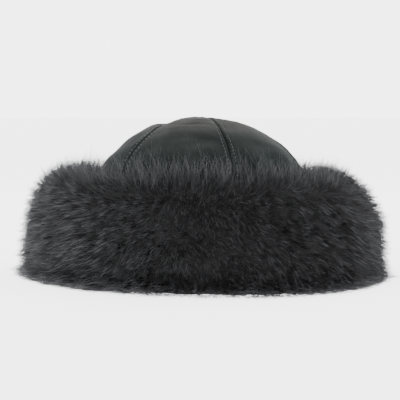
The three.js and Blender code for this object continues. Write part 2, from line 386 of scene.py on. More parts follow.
# %% The dome
WRINKLES = [  # x and y from the crown's axis, half length, half width, depth
    (-2, -29, 16, 1.8, 0.45),
    (-5, -40, 19, 2.0, 0.5),
    (30, -24, 12, 2.2, 0.3),
]


def wrinkles(place):
    """How deep the suede is creased, in millimetres: each wrinkle is a bell curve across it times a bell
    curve along it."""
    x, y = (place[..., 0] - axis_x) / MM, (place[..., 1] - axis_y) / MM
    deep = 0
    for middle_x, middle_y, half_length, half_width, depth in WRINKLES:
        across = ((y - middle_y) / half_width) ** 2
        along = ((x - middle_x) / half_length) ** 2
        deep = deep + depth * np.exp(-across - along)
    return deep


def crown_base(azimuth, share):
    """The dome without its gores' swelling: the outline carried round the oval, slid back near the top,
    set down on the same sphere again, and lowered by each dent's depth times exp(-distance^2 / 2), with
    the distance counted in the dent's own widths and lengths."""
    radius, height = np.moveaxis(outline_at(CROWN_OUTLINE, share), -1, 0)
    point = on_oval(azimuth, radius, height)
    slide = APEX_BACK * np.maximum(0, 1 - (radius / CROWN_HALF_WIDTH) ** 2)
    point[..., 1] += slide * MM
    stretch = 1 + OVAL_EXTRA / CROWN_HALF_WIDTH
    reach = np.hypot(point[..., 0] - axis_x, (point[..., 1] - axis_y) / stretch) / MM
    slid, unslid = (np.sqrt(np.maximum(0, DOME_RADIUS**2 - r**2)) for r in (reach, radius))
    x, y = (point[..., 0] - axis_x) / MM, (point[..., 1] - axis_y) / MM
    lowered = np.zeros_like(x)
    for dent_x, dent_y, width, length, depth in DENTS:
        away = ((x - dent_x) / width) ** 2 + ((y - dent_y) / length) ** 2
        lowered += depth * np.exp(-away / 2)
    lowered *= 1 - smooth_step(share, *DENTS_END)
    point[..., 2] += (slid - unslid - lowered) * MM
    return point


def crown_normal(azimuth, share):
    """Square to the dome: the cross product of a small step round it and a small step up it."""
    step = 1e-3
    up = crown_base(azimuth, share - step) - crown_base(azimuth, share + step)
    around = crown_base(azimuth + step, share) - crown_base(azimuth - step, share)
    return unit(np.cross(around, up))


meeting_point = crown_base(np.zeros(1), np.zeros(1))[0]
print(f"the seams meet {meeting_point[2] / MM:.1f} mm above the table")

# %% The relief of a gore
SWELLS_OVER, SWELLING_ENDS = (0, 0.3), (0.5, 0.68)  # shares of a gore's length
STITCH_OFFSET = 3.6  # mm from the seam to its stitches, as are the sizes below
GROOVE_DEPTH, GROOVE_WIDTH, GROOVE_POWER = 2.3, 0.6, 1.6
ALLOWANCE_HEIGHT, ALLOWANCE_EDGE = 0.45, (4.6, 7)
PULL_DEPTH, PULL_WIDTH = 0.4, 0.75
PUCKER_DEPTH, PUCKER_WAVE, PUCKER_REACH = 0.16, 7, 9
BROAD_CREASE, BROAD_WAVE = 0.55, 34
FINE_CREASE, FINE_WAVE = 0.25, 15
CREASES_FROM_SEAM, CREASES_END = (0, 14), (0.5, 0.7)  # mm from the seam, and shares of a gore's length
LEAST_GIRTH = 0.5  # mm, of a gore at its tip
NEAREST_TOP = 2e-3  # share of a gore's length where its direction is read at its tip


def gore_relief(across, share, girth, place):
    """How far the suede stands out from the dome, in millimetres. It is the gore's swelling, which is
    highest midway between the seams, less the groove at the seam, plus the folded allowance beside it,
    less the pull of the stitches, plus the puckers beside the seam and the soft creases, less the
    wrinkles."""
    swelling = smooth_step(share, *SWELLS_OVER) * (1 - smooth_step(share, *SWELLING_ENDS))
    swollen = PUFF * (1 - across**2) * swelling
    from_seam = (1 - np.abs(across)) * girth / 2
    groove = GROOVE_DEPTH * np.exp(-((from_seam / GROOVE_WIDTH) ** GROOVE_POWER))
    allowance = ALLOWANCE_HEIGHT * (1 - smooth_step(from_seam, *ALLOWANCE_EDGE))
    pulled = PULL_DEPTH * np.exp(-(((from_seam - STITCH_OFFSET) / PULL_WIDTH) ** 2))
    puckers = PUCKER_DEPTH * ripple(place, PUCKER_WAVE, 11) * np.exp(-from_seam / PUCKER_REACH)
    creases = BROAD_CREASE * ripple(place, BROAD_WAVE, 12) + FINE_CREASE * ripple(place, FINE_WAVE, 13)
    creases = creases * smooth_step(from_seam, *CREASES_FROM_SEAM) * (1 - smooth_step(share, *CREASES_END))
    return swollen - groove + allowance - pulled + puckers + creases - wrinkles(place)


def seams_of(number):
    """The azimuths of the seams at the two sides of a gore."""
    first = SEAMS[number]
    last = SEAMS[(number + 1) % GORES]
    return first, last + 2 * math.pi * (last < first)


def gore_surface(number, across, share):
    """Points on a gore's outer face, and the directions square to them: across runs from -1 at one seam
    to 1 at the next. The girth is the straight distance between the two seams."""
    first, last = seams_of(number)
    azimuth = first + (last - first) * (across + 1) / 2
    base = crown_base(azimuth, share)
    ends = [crown_base(np.full_like(share, seam), share) for seam in (first, last)]
    girth = np.maximum(np.linalg.norm(ends[1] - ends[0], axis=-1) / MM, LEAST_GIRTH)
    normal = crown_normal(azimuth, np.maximum(share, NEAREST_TOP))
    return base + normal * gore_relief(across, share, girth, base)[..., None] * MM, normal


widest = max(last - first for first, last in map(seams_of, range(GORES)))
print(f"the widest gore spans {math.degrees(widest):.0f} degrees")

# %% [markdown]
# ## Suede and thread
#
# Suede is leather sanded to a nap on its flesh side. It is matt, a little paler where the nap is brushed
# one way, and paler again at a grazing angle, which a sheen layer gives. Round the top, hands and shelves
# have rubbed the nap browner, and the top is painted paler for the light that falls on it, so the colour is
# blended by height with an uneven edge. Such a blend could be drawn as a picture, but noise on the piece's
# own coordinates has no seams and needs no picture.
#
# The grain both mottles the colour and roughens the surface. It is drawn at 1.5 mm, coarser than the real
# nap, because the picture has no room for a finer one. The thread is polyester, a little paler than the
# suede, with a soft shine that makes single stitches stand out.

# %% Suede
SUEDE_GRAIN = 1.5  # mm
GRAIN_HEIGHT = 0.25  # mm
NAP_PATCH = 26  # mm, of the paler and darker patches
# Round the top the nap is browner where rubbed and painted paler for the light that falls there; the two
# lines below give the uneven edge and the heights of that blend.
RUBBED_LIT_PATCH = 2.2 * NAP_PATCH  # of the rubbed area's uneven edge
RUBBED_AND_LIT_FROM, RUBBED_AND_LIT_TO = 121, 137  # mm, heights between which the nap turns paler and warmer

suede_values = {
    "Roughness": 0.92, "IOR": 1.45, "Specular IOR Level": 0.12,
    "Sheen Weight": 0.06, "Sheen Roughness": 0.4,
}
suede, tree, shader = new_material("napped_suede", suede_values)
place = add_node(tree, "ShaderNodeTexCoord").outputs["Object"]
patch_noise = {"Vector": place, "Scale": 1 / (NAP_PATCH * MM), "Detail": 3.0}
patches = add_node(tree, "ShaderNodeTexNoise", patch_noise).outputs["Fac"]
rubbed_lit_edge_noise = {"Vector": place, "Scale": 1 / (RUBBED_LIT_PATCH * MM), "Detail": 1.0}
rubbed_lit_edge = add_node(tree, "ShaderNodeTexNoise", rubbed_lit_edge_noise).outputs["Fac"]
grain_noise = {"Vector": place, "Scale": 1 / (SUEDE_GRAIN * MM), "Detail": 4.0}
grain = add_node(tree, "ShaderNodeTexNoise", grain_noise).outputs["Fac"]
specks = add_node(tree, "ShaderNodeMath", {0: grain, 1: 0.5}, operation="SUBTRACT").outputs[0]
mottled = {0: specks, 1: 0.5, 2: patches}
nap_tone = add_node(tree, "ShaderNodeMath", mottled, operation="MULTIPLY_ADD").outputs[0]
cool_stops = [(0.34, "#131a19"), (0.52, "#1a2120"), (0.68, "#212827")]
cool = add_node(tree, "ShaderNodeValToRGB", {"Fac": nap_tone}, cool_stops).outputs["Color"]
# painted light: these stops are paler for the light on the top, and browner where the nap is rubbed
browner_lit_stops = [(0.34, "#292a28"), (0.52, "#343533"), (0.68, "#40413e")]
browner_and_lit = add_node(tree, "ShaderNodeValToRGB", {"Fac": nap_tone}, browner_lit_stops).outputs["Color"]
height = add_node(tree, "ShaderNodeSeparateXYZ", {"Vector": place}).outputs["Z"]
# painted light and rubbing, blended in by height with an uneven edge
rubbed_and_lit_heights = {"Value": height, "From Min": RUBBED_AND_LIT_FROM * MM, "From Max": RUBBED_AND_LIT_TO * MM}
top = add_node(tree, "ShaderNodeMapRange", rubbed_and_lit_heights, interpolation_type="SMOOTHSTEP").outputs["Result"]
unevenness = {"Value": rubbed_lit_edge, "From Min": 0.35, "From Max": 0.65, "To Min": -0.15, "To Max": 0.3}
uneven = add_node(tree, "ShaderNodeMapRange", unevenness).outputs["Result"]
rubbed_and_lit = add_node(tree, "ShaderNodeMath", {0: top, 1: uneven}, operation="ADD", use_clamp=True).outputs[0]
toned = add_node(tree, "ShaderNodeMix", {0: rubbed_and_lit, 6: cool, 7: browner_and_lit}, data_type="RGBA").outputs[2]
roughened = {"Height": grain, "Strength": 0.5, "Distance": GRAIN_HEIGHT * MM}
nap = add_node(tree, "ShaderNodeBump", roughened).outputs["Normal"]
tree.links.new(toned, shader.inputs["Base Color"])
tree.links.new(nap, shader.inputs["Normal"])
print(f"{suede.name} has {len(tree.nodes)} nodes")

# %% Thread
thread_values = {"Base Color": linear("#565f5d"), "Roughness": 0.55, "IOR": 1.5}
thread, tree, _ = new_material("polyester_thread", thread_values)
print(f"{thread.name} has {len(tree.nodes)} nodes")

# %% [markdown]
# ## The gores
#
# On the real hat each gore is one cut piece of suede. Here each one is a closed shell with the suede's
# own thickness, so that it is a body that could be printed. A Solidify modifier could give the thickness,
# but the dome's own normals are at hand, so the inner face is set in along them and has no creases that
# cross.

# %% Gores
WIDEST_HALF = 49.2  # mm, half a gore's width at the rim
SEAM_STEPS = [0, 0.45, 0.9, 1.5, 2.2, 2.9, 3.4, 3.8, 4.3, 5.2, 7, 10, 14, 19, 25, 32, 40]  # mm from a seam
VISIBLE_SHARE = 0.62  # of a gore's length, from its top: the fur hides the rest
ROWS_SHOWN, ROWS_HIDDEN = 84, 10

half_columns = 1 - np.array(SEAM_STEPS) / WIDEST_HALF
columns = np.concatenate([-half_columns, [0], half_columns[::-1]])
shown = np.linspace(0, 1, ROWS_SHOWN, endpoint=False) * VISIBLE_SHARE
hidden = VISIBLE_SHARE + (1 - VISIBLE_SHARE) * np.linspace(0, 1, ROWS_HIDDEN)
shares = np.concatenate([shown, hidden])


def gore_piece(number):
    """One gore as a closed shell: its outer face, the same grid a leather's thickness further in, and a
    strip round the edge that joins them. The grid's first row is the point where the gores meet."""
    first, last = seams_of(number)
    across, share = np.meshgrid(columns, shares)
    outer, normal = gore_surface(number, across, share)
    inner = crown_base(first + (last - first) * (across + 1) / 2, share) - normal * LEATHER * MM
    rows, width = across.shape
    points = np.concatenate([outer.reshape(-1, 3), inner.reshape(-1, 3)])
    size = rows * width
    front = grid_faces(rows, width)
    back = grid_faces(rows, width, size)[:, ::-1]
    index = np.arange(size).reshape(rows, width)
    border = np.concatenate([index[0, :], index[1:, -1], index[-1, -2::-1], index[-2:0:-1, 0]])
    after = np.roll(border, -1)
    edge = np.stack([border, after, after + size, border + size], -1)
    name = gore_names[number].replace("crown_gore", "suede_gore")
    piece = add_piece(name, points, [front, back, edge], suede)
    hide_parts(gore_names[number])
    return piece


for number in range(GORES):
    gore_piece(number)

# %% [markdown]
# ## Topstitching
#
# A row of stitches runs down each side of every seam and holds the folded allowance. Each stitch shows as
# a short arch of thread whose ends dip into the suede. A dashed texture could stand in for it, but real
# arches catch the light and cast the small shadows that make a seam look sewn. All the stitches of one
# seam are one mesh, made from arrays: a ring of six points is carried along every arch at once. They are
# drawn a little longer and thicker than real ones, so that they show.

# %% Where the stitches lie
STITCH_PITCH = 4.3  # mm, as are the sizes below
STITCH_LENGTH = 1.8
HALF_STEP = 0.4  # along the seam, to find a stitch's direction
STITCHED_FROM, STITCHED_TO = 7, 134  # along a seam from where the seams meet
CLOSEST_TO_MIDDLE = 0.9  # share of half a gore's width that a row is set in at most, where gores are narrow
FINE_LINE = np.linspace(1e-3, 0.8, 600)  # shares of a gore's length at which a seam is measured


def stitch_rows(number):
    """Centres, directions and normals of the stitches on both sides of one seam. Distances along the seam
    are measured on a fine line down it, and every stitch is set at its own share of that line. One row is
    half a pitch ahead of the other."""
    line = crown_base(np.full_like(FINE_LINE, SEAMS[number]), FINE_LINE)
    length = np.concatenate([[0], np.cumsum(np.linalg.norm(np.diff(line, axis=0), axis=1))]) / MM
    found = []
    for gore, side in ((number, -1), ((number - 1) % GORES, 1)):
        first, last = seams_of(gore)
        start = STITCHED_FROM + STITCH_PITCH / 2 * (side > 0)
        distances = np.arange(start, min(STITCHED_TO, length[-1] - STITCH_LENGTH), STITCH_PITCH)
        places = []
        for step in (-HALF_STEP, 0, HALF_STEP):
            share = np.interp(distances + step, length, FINE_LINE)
            ends = [crown_base(np.full_like(share, seam), share) for seam in (first, last)]
            girth = np.linalg.norm(ends[1] - ends[0], axis=-1) / MM
            across = side * (1 - np.minimum(2 * STITCH_OFFSET / girth, CLOSEST_TO_MIDDLE))
            places.append(gore_surface(gore, across, share))
        found.append((places[1][0], unit(places[2][0] - places[0][0]), places[1][1]))
    return [np.concatenate(each) for each in zip(*found)]


print(f"the front right seam has {len(stitch_rows(0)[0])} stitches")

# %% Stitches
THREAD_WIDTH = 0.7  # mm
THREAD_SIDES = 6
ARCH_HEIGHT, SUNK = 0.42, 0.12  # mm, of a stitch over its ends, and of its ends under the suede
STITCH_PLACES = np.array([0, 0.2, 0.5, 0.8, 1])  # shares of a stitch's length at which its rings stand
STITCH_FULLNESS = np.array([0.35, 0.9, 1, 0.9, 0.35])  # share of the thread's width that each ring has


def stitch_piece(number):
    """The arch of a stitch at t is its centre, plus (t - 1/2) of its length along the seam, plus a height
    of 1 - (2t - 1)^2 along the normal. A ring of six points with a radius that shrinks at the ends
    follows it."""
    centre, way, normal = stitch_rows(number)
    side = np.cross(normal, way)
    t = STITCH_PLACES
    along = (t - 0.5) * STITCH_LENGTH * MM
    height = (ARCH_HEIGHT * (1 - (2 * t - 1) ** 2) - SUNK) * MM
    line = centre[:, None] + way[:, None] * along[:, None] + normal[:, None] * height[:, None]
    turn = np.arange(THREAD_SIDES) * 2 * math.pi / THREAD_SIDES
    radius = STITCH_FULLNESS * THREAD_WIDTH / 2 * MM
    ring = np.cos(turn)[:, None] * side[:, None, None] + np.sin(turn)[:, None] * normal[:, None, None]
    points = line[:, :, None] + ring * radius[None, :, None, None]
    count, rings, sides = points.shape[:3]
    wall = grid_faces(rings, sides, around=True)
    start = np.arange(sides)[None, ::-1]
    end = (rings - 1) * sides + np.arange(sides)[None]
    offsets = (np.arange(count) * rings * sides)[:, None, None]
    faces = [(offsets + wall[None, :, ::-1]).reshape(-1, 4)]
    faces += [(offsets + cap).reshape(-1, sides) for cap in (start, end)]
    piece = add_piece(f"topstitches_{number + 1}", points.reshape(-1, 3), faces, thread)
    return piece


for number in range(GORES):
    stitch_piece(number)

# %% [markdown]
# ## Fur as a material
#
# The fur is fox dyed near black. Each guard hair is darkest at its root and a little paler towards its
# tip, and single hairs differ: most are almost black, and some have kept a grey tip. So the colour of a
# hair is read from a map of two numbers, its own tone and the place along it, and no picture is needed.
# The shine is low, as dye and dust dull the cuticle.
#
# The underfur is woolly and as dark as the roots. Its bump is drawn in tufts of 4 mm, coarser than the
# real ones, because only glimpses of it show between the hairs.

# %% Dyed hair
fur_values = {"Roughness": 0.6, "IOR": 1.55, "Specular IOR Level": 0.3}
dyed_fur, tree, shader = new_material("dyed_fox_fur", fur_values)
hair_map = add_node(tree, "ShaderNodeUVMap", uv_map="OFBake").outputs["UV"]
numbers = add_node(tree, "ShaderNodeSeparateXYZ", {"Vector": hair_map}).outputs
dark_stops = [(0.0, "#19191a"), (0.5, "#1c1c1d"), (1.0, "#202021")]
dark_hair = add_node(tree, "ShaderNodeValToRGB", {"Fac": numbers["Y"]}, dark_stops).outputs["Color"]
pale_stops = [(0.0, "#171718"), (0.5, "#333437"), (0.75, "#626367"), (1.0, "#97989d")]
pale_hair = add_node(tree, "ShaderNodeValToRGB", {"Fac": numbers["Y"]}, pale_stops).outputs["Color"]
by_tone = {0: numbers["X"], 6: dark_hair, 7: pale_hair}
hair_colour = add_node(tree, "ShaderNodeMix", by_tone, data_type="RGBA").outputs[2]
tree.links.new(hair_colour, shader.inputs["Base Color"])
print(f"{dyed_fur.name} has {len(tree.nodes)} nodes")

# %% Underfur
UNDERFUR_TUFT = 4  # mm
TUFT_HEIGHT = 1.5  # mm

underfur, tree, shader = new_material("dense_underfur", {"Roughness": 0.95, "Specular IOR Level": 0.1})
place = add_node(tree, "ShaderNodeTexCoord").outputs["Object"]
tuft_noise = {"Vector": place, "Scale": 1 / (UNDERFUR_TUFT * MM), "Detail": 3.0}
tufts = add_node(tree, "ShaderNodeTexNoise", tuft_noise).outputs["Fac"]
underfur_stops = [(0.35, "#1b1b1c"), (0.65, "#212122")]
underfur_colour = add_node(tree, "ShaderNodeValToRGB", {"Fac": tufts}, underfur_stops).outputs["Color"]
woolly = {"Height": tufts, "Strength": 0.8, "Distance": TUFT_HEIGHT * MM}
wool = add_node(tree, "ShaderNodeBump", woolly).outputs["Normal"]
tree.links.new(underfur_colour, shader.inputs["Base Color"])
tree.links.new(wool, shader.inputs["Normal"])
print(f"{underfur.name} has {len(tree.nodes)} nodes")

# %% [markdown]
# ## The fur's dark core
#
# Under the long hair a pelt has a dense underfur that no light gets through. It closes the gaps between
# the hairs, and without it one would see straight through to the suede. It could be made of ever more
# hairs, but a closed ring in the underfur's colour does the same for the eye: a profile that runs up
# beside the crown, over the top and down the outside, 10 mm under the hair's tips, carried round the
# oval. Soft waves keep it from looking like a tube.

# %% Where the hair's tips end
SMALL_SHARE = 0.02  # step along the outline, to find its direction


def fur_point(azimuth, share):
    """The point where the hair's tips end: the outline carried round the oval, plus what each row of
    FULLER adds. That is its extra times a power of the cosine of the angle from its azimuth, level low
    down and straight up beside the crown."""
    radius, height = np.moveaxis(outline_at(FUR_OUTLINE, share), -1, 0)
    extra = 0
    for degrees, power, most, start, end in FULLER:
        facing = np.maximum(0, np.cos(azimuth - math.radians(degrees)))
        extra = extra + most * facing**power * (1 - smooth_step(share, start, end))
    rise = math.pi / 2 * smooth_step(share, RISE_START, 1)
    return on_oval(azimuth, radius + extra * np.cos(rise), height + extra * np.sin(rise))


def fur_frame(azimuth, share):
    """Three unit vectors at a place on the fur: out of it, down along its outline, and sideways round the
    hat."""
    low = fur_point(azimuth, np.maximum(share - SMALL_SHARE, 0))
    high = fur_point(azimuth, np.minimum(share + SMALL_SHARE, 1))
    down = unit(low - high)
    side = np.stack([np.cos(azimuth), np.sin(azimuth), np.zeros_like(azimuth)], -1)
    out = unit(np.cross(down, side))
    return out, down, unit(np.cross(out, down))


right_edge = fur_point(np.full(50, math.pi / 2), np.linspace(0, 1, 50))[:, 0].max() - axis_x
print(f"to the right, the fur reaches {right_edge / MM:.0f} mm from the axis")

# %% The core
CORE_DEPTH = 10  # mm, as are the sizes below
CORE_CLEARANCE = 1.5  # between the core and the table
CORE_TOP, CORE_ROWS, CORE_COLUMNS = 0.97, 34, 192  # share of the outline where it ends, and its grid
BROAD_BUMP, BROAD_BUMP_WAVE = 1.6, 22
FINE_BUMP, FINE_BUMP_WAVE = 0.8, 9
BORE_RADIUS, BORE_TOP = CROWN_HALF_WIDTH + 0.5, 88  # of the hole for the crown


def core_profile(azimuth):
    """The core's closed profile at each azimuth: up the bore, over the top and down the outside."""
    share = np.linspace(CORE_TOP, 0, CORE_ROWS)
    around, along = np.meshgrid(azimuth, share, indexing="ij")
    out = fur_frame(around, along)[0]
    skin = fur_point(around, along) - out * CORE_DEPTH * MM
    bumps = BROAD_BUMP * ripple(skin, BROAD_BUMP_WAVE, 21) + FINE_BUMP * ripple(skin, FINE_BUMP_WAVE, 22)
    skin = skin + out * bumps[..., None] * MM
    skin[..., 2] = np.maximum(skin[..., 2], CORE_CLEARANCE * MM)
    heights = np.array([CORE_CLEARANCE, BORE_TOP / 2, BORE_TOP])
    bore = on_oval(azimuth[:, None], BORE_RADIUS, heights[None])
    return np.concatenate([bore, skin], 1)


core_azimuths = np.linspace(0, 2 * math.pi, CORE_COLUMNS, endpoint=False)
core_points = core_profile(core_azimuths)
around_count, profile_count = core_points.shape[:2]
ring_index = np.arange(around_count * profile_count).reshape(around_count, profile_count)
next_ring = np.roll(ring_index, -1, axis=0)
quads = [ring_index, np.roll(ring_index, -1, axis=1), np.roll(next_ring, -1, axis=1), next_ring]
core_faces = np.stack(quads, -1).reshape(-1, 4)
core = add_piece("fur_core", core_points.reshape(-1, 3), [core_faces], underfur)
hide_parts("fur_cuff")

# %% [markdown]
# ## Building hairs
#
# Blender's own hair isn't used here: the fur is plain meshes. Blender's own hair can't be used here,
# because the finished model has to be plain meshes. So each hair is a thin closed horn with three sides
# that bends on its way, which is ten triangles. All the hairs of a piece are built together from arrays. A
# hair is drawn three to five times as wide as a real one: there are fewer than a hundred thousand of them,
# and together they have to cover the whole ring.

# %% Building hairs
HAIR_SIDES = 3
TAPER = 0.6  # share of its width that a hair would lose on its way to the tip, before the tip closes it
OFF_AXIS = np.array([0.31, 0.17, 0.93])  # a direction that no hair follows
TABLE_GAP = 0.2  # mm


def horns(hairs, places):
    """Closed horns along the curves (1-t)^2 root + 2t(1-t) bend + t^2 tip. A ring of three points stands
    on each curve at every one of the places t, and the tip closes it. Returns points, quads, triangles
    and a pair of numbers for each point: the hair's tone and t."""
    names = ("root", "bend", "tip", "width", "tone", "turn")
    root, bend, tip, width, tone, turn = (hairs[name] for name in names)
    t = places[None, :, None]
    line = (1 - t) ** 2 * root[:, None] + 2 * t * (1 - t) * bend[:, None] + t**2 * tip[:, None]
    way = unit((1 - t) * (bend - root)[:, None] + t * (tip - bend)[:, None])
    side = unit(np.cross(way, OFF_AXIS))
    other = np.cross(way, side)
    angle = (turn[:, None] + np.arange(HAIR_SIDES) * 2 * math.pi / HAIR_SIDES)[:, None, :, None]
    spoke = np.cos(angle) * side[:, :, None] + np.sin(angle) * other[:, :, None]
    fullness = 1 - TAPER * places**2
    rings = line[:, :, None] + spoke * (width[:, None] * fullness / 2)[..., None, None]
    count, levels = len(root), len(places)
    points = np.concatenate([rings.reshape(count, -1, 3), tip[:, None]], 1)
    points[..., 2] = np.maximum(points[..., 2], TABLE_GAP * MM)
    size = points.shape[1]
    ring = np.arange(HAIR_SIDES)
    last = (levels - 1) * HAIR_SIDES
    cap = np.stack([last + ring, last + (ring + 1) % HAIR_SIDES, np.full(HAIR_SIDES, size - 1)], -1)
    foot = np.array([[2, 1, 0]])
    first = (np.arange(count) * size)[:, None, None]
    quads = (first + grid_faces(levels, HAIR_SIDES, around=True)[:, ::-1]).reshape(-1, 4)
    triangles = (first + np.concatenate([cap, foot])).reshape(-1, 3)
    along = np.concatenate([np.repeat(places, HAIR_SIDES), [1.0]])
    uv = np.stack(np.broadcast_arrays(tone[:, None], along[None]), -1).reshape(-1, 2)
    return points.reshape(-1, 3), quads, triangles, uv


def fur_piece(name, coats):
    """One piece from several sets of horns."""
    before = np.cumsum([0] + [len(coat[0]) for coat in coats])
    faces = [group + start for coat, start in zip(coats, before) for group in coat[1:3]]
    points, uv = (np.concatenate([coat[k] for coat in coats]) for k in (0, 3))
    piece = add_piece(name, points, faces, dyed_fur, uv)
    return piece


print(f"a hair is a horn with {HAIR_SIDES} sides, which is {3 * HAIR_SIDES + 1} triangles")

# %% [markdown]
# ## How the fur lies
#
# Hair doesn't stand straight out of a pelt. On this hat it hangs down a little all round, it is swept
# towards the viewer's left at the front left, it stands up at the top, and close to the table it has
# nowhere to hang to. A groom could be combed by hand, but a few leans round the hat, blended between, say
# the same in ten rows. Smooth noise on top of them makes neighbouring tufts lean much the same way, and
# none quite alike.

# %% How the fur lies
LEAN_ROUND = np.array([  # azimuth in degrees, slope down the fur, slope sideways round the hat
    (-180, 0.40, 0.00),
    (-140, 0.45, 0.35),
    (-90, 0.12, 0.00),
    (-42, 0.48, -0.48),
    (-16, 0.42, -0.16),
    (0, 0.45, 0.00),
    (40, 0.80, 0.05),
    (90, 0.12, 0.00),
    (140, 0.50, -0.30),
    (180, 0.40, 0.00),
])
HANGS_TO = (0.5, 0.8)  # shares of the outline between which hanging hair turns into standing hair
FOOT_LEAN = 0.15  # share of its lean that hair has at the table
FOOT_TO = (0, 0.15)  # shares of the outline over which it comes to lean all the way
BROAD_LEAN, FINE_LEAN = (0.13, 0.13), (0.07, 0.09)  # slopes down and sideways that noise adds
BROAD_LEAN_WAVES, FINE_LEAN_WAVES = (48, 52), (17, 19)  # mm, of that noise


def lean_of(azimuth, share, place):
    """How a tuft leans: its slope down along the outline, and its slope sideways. Each is the slope of
    its azimuth, as far as the hair hangs there, plus broad and fine noise."""
    degrees = np.degrees((azimuth + math.pi) % (2 * math.pi) - math.pi)
    near_table = FOOT_LEAN + (1 - FOOT_LEAN) * smooth_step(share, *FOOT_TO)
    hanging = (1 - smooth_step(share, *HANGS_TO)) * near_table
    slopes = []
    for way in (0, 1):
        slope = np.interp(degrees, LEAN_ROUND[:, 0], LEAN_ROUND[:, 1 + way]) * hanging
        slope = slope + BROAD_LEAN[way] * ripple(place, BROAD_LEAN_WAVES[way], 31 + 2 * way)
        slope = slope + FINE_LEAN[way] * ripple(place, FINE_LEAN_WAVES[way], 32 + 2 * way)
        slopes.append(slope)
    return slopes


print(f"leans are given at {len(LEAN_ROUND)} azimuths")

# %% [markdown]
# ## Seven coats
#
# Real fur has two coats. The dense lower one ends about 5 mm under the upper one, whose longer guard
# hairs are sparse enough to be seen one by one, and to let the light through at the hat's edge. Hairs
# don't stand one by one either: they gather in loose tufts, so the tufts are placed first, and their
# hairs start spread out in the core and come together towards the tuft's tip.
#
# Five more coats give what the eye notices on top of those two. Pointed tufts stand out of the guard hair.
# Single stray hairs catch the light. A fringe and a hem soften the edge on the table, and long wisps lie
# over the foot of the dome; all three are painted pale for the light that comes through thin hair at an
# edge. One even coat would be simpler, but it looks like a brush.

# %% The coats
# spacing: mm between tufts
# along: shares of the outline between which the coat grows, counted from the table
# hairs: in a tuft
# reach: mm past the outline, how much it varies, and how much each tuft strays
# front: mm more on top at the front
# length, width: mm, of a hair with the part inside the core
# tightness, spread: mm between the hairs of a tuft at their tips, and by which their roots stray
# disorder: how much their slopes differ
# tone: 0 dark to 1 pale, how much it varies by the tuft, and by the hair
# calm: share of its tone that it lacks at the front, as painted shade
# knee: place along a hair, from its root, of its second ring of points
COATS = {
    "lower": dict(  # closes the gaps between the longer hairs
        spacing=4.4, along=(0, 1), hairs=5, reach=(-5.8, 1.4, 0.8), front=-5, length=16, width=0.52,
        tightness=1.7, spread=2.4, disorder=0.09, tone=(0.1, 0.03, 0.04), front_shade=0.85, knee=0.52,
    ),
    "guard": dict(
        spacing=5.8, along=(0, 1), hairs=8, reach=(-0.8, 1.7, 2.4), front=-6, length=21, width=0.42,
        tightness=0.85, spread=3.2, disorder=0.08, tone=(0.125, 0.06, 0.05), front_shade=0.85, knee=0.5,
    ),
    "pointed tufts": dict(
        spacing=13, along=(0.05, 0.92), hairs=8, reach=(1.9, 0.8, 1.6), front=-7, length=23, width=0.42,
        tightness=0.6, spread=2.6, disorder=0.05, tone=(0.18, 0.08, 0.05), front_shade=0.8, knee=0.5,
    ),
    "stray": dict(  # single pale hairs
        spacing=8.6, along=(0.02, 0.9), hairs=5, reach=(1.0, 1.0, 0.8), front=-7, length=16, width=0.42,
        tightness=4.2, spread=0.8, disorder=0.03, tone=(0.85, 0.5, 0.1), front_shade=0.38, knee=0.5,
    ),
    # painted light: the fringe's pale tone stands for light that comes through thin hair at the edge
    "fringe": dict(  # pale loose hair just above the table
        spacing=4.0, along=(0, 0.07), hairs=9, reach=(1.0, 2.8, 2.6), front=0, length=20, width=0.34,
        tightness=1.1, spread=2.4, disorder=0.12, tone=(0.7, 0.1, 0.15), front_shade=0.4, knee=0.5,
    ),
    # painted light: the hem's pale tone stands for the glowing table's light on it
    "hem": dict(  # the hair that lies on the table
        spacing=2.1, along=(0, 0.03), hairs=4, reach=(1.4, 4.2, 2.4), front=0, length=18, width=0.36,
        tightness=1.2, spread=2.0, disorder=0.06, tone=(0.5, 0.1, 0.15), front_shade=0.4, knee=0.5,
    ),
    # painted light: the wisps' pale tone stands for light that comes through them
    "wisps": dict(  # thin and long, over the foot of the dome
        spacing=4.8, along=(0.76, 0.98), hairs=5, reach=(1.6, 4.2, 3.4), front=9, length=34, width=0.25,
        tightness=2.4, spread=3, disorder=0.16, tone=(0.75, 0.1, 0.15), front_shade=0, knee=0.55,
    ),
}
print(f"{len(COATS)} coats:", ", ".join(COATS))

# %% [markdown]
# ## Where the fur is uneven
#
# The outline is the fur's average edge. On the real hat the fur bulges in some places and is pressed in
# at others, and single tufts stand out, so each tuft's height is worked out before its hairs are. A
# sculpted core could carry these bulges, but then every coat would have to follow it, and here a row of
# numbers does.
#
# The tone is uneven as well, and light and shade are painted into it. Light comes through the fur's top at
# the back and at the left rim, so those are painted paler; the foot is painted paler for the glowing
# table's light on the tips, the right rim darker for its shade, and the front darker for the shade it lies
# in, with few pale hairs.

